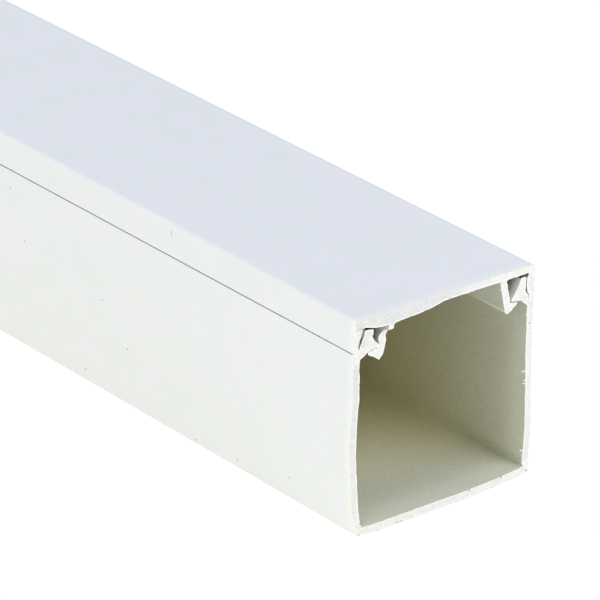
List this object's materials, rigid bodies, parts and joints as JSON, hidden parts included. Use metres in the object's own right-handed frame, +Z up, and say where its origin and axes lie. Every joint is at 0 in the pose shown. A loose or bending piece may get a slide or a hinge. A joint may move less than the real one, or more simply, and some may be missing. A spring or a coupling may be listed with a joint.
{
  "type": "cord cover raceway",
  "caption": "Square plastic cord cover raceway: a straight U-shaped channel with barbed snap rails, closed by a clip-on lid with hooked legs.",
  "frame": {"origin": "under the middle of the length, on the back face that goes against the wall", "axes": "+X along the length, towards the end that the picture shows; +Y across the width; +Z up, out of the back face towards the lid"},
  "size_m": [1, 0.04, 0.04],
  "materials": {
    "channel_plastic": "satin white rigid PVC",
    "lid_plastic": "satin white rigid PVC"
  },
  "bodies": {
    "channel": {"channel": "channel_plastic"},
    "lid": {"lid": "lid_plastic"}
  },
  "joints": [
    {"name": "lid_slide", "type": "slide", "parent": "channel", "child": "lid", "axis": [1, 0, 0], "range_m": [-1, 1]}
  ]
}
